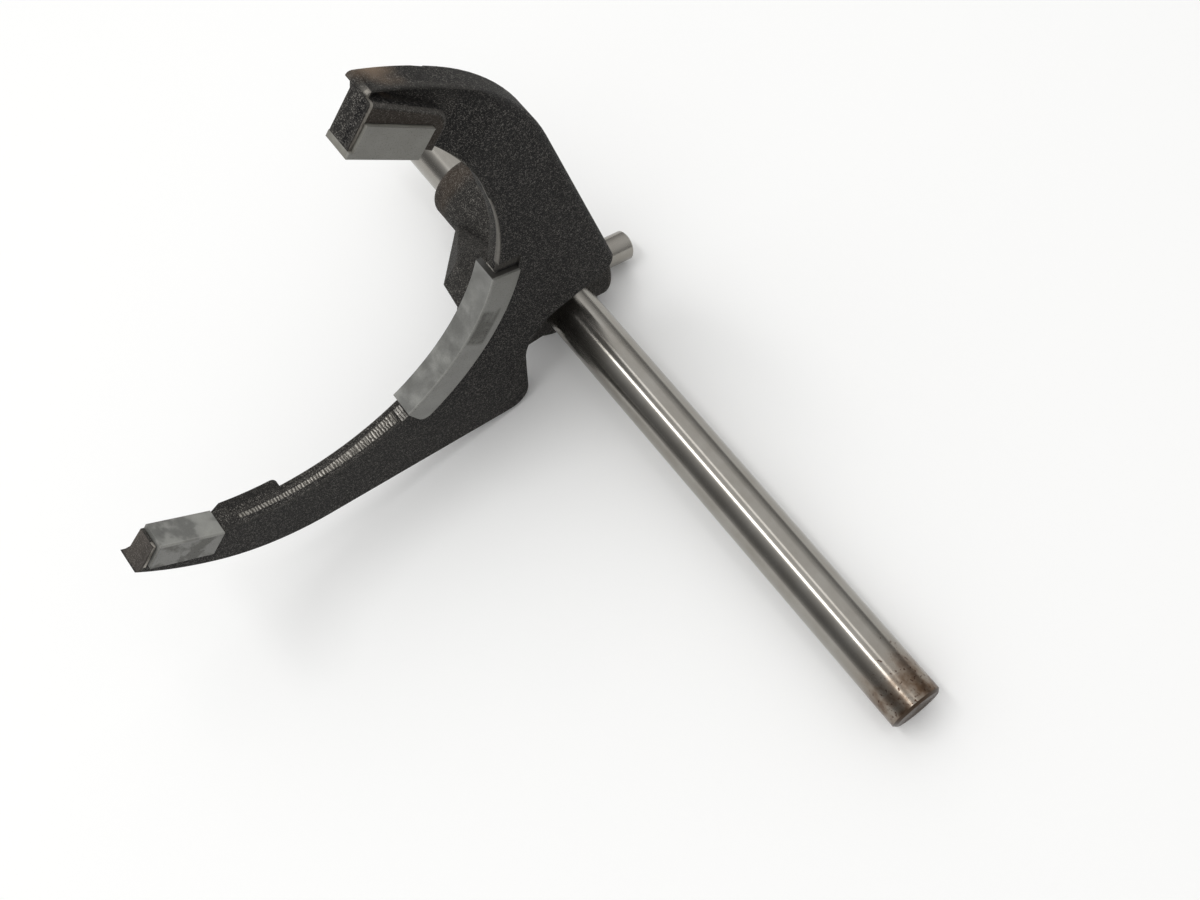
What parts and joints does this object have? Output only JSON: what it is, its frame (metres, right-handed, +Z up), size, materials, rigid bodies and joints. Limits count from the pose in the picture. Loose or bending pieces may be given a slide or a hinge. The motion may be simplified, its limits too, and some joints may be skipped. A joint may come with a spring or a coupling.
{
  "type": "transfer case shift fork",
  "caption": "C-shaped cast shift fork with plastic wear pads on a round shift rail, with a cross pin beside the hub; it slides a gear sleeve along its shaft.",
  "frame": {"origin": "floor level under the middle of the bounding box, as the part lies at rest", "axes": "+X along the shift rail towards its long end, +Z up; the arms rise towards -Y"},
  "size_m": [0.245, 0.1686, 0.1629],
  "materials": {
    "casting": "blasted, dark grey, dry",
    "rail": "ground, lightly stained",
    "pin": "ground",
    "pad": "light grey, worn satin"
  },
  "bodies": {
    "root": {"fork_casting": "casting", "shift_rail": "rail", "selector_pin": "pin", "crown_pad": "pad", "upper_tip_pad": "pad", "lower_tip_pad": "pad"}
  },
  "joints": []
}
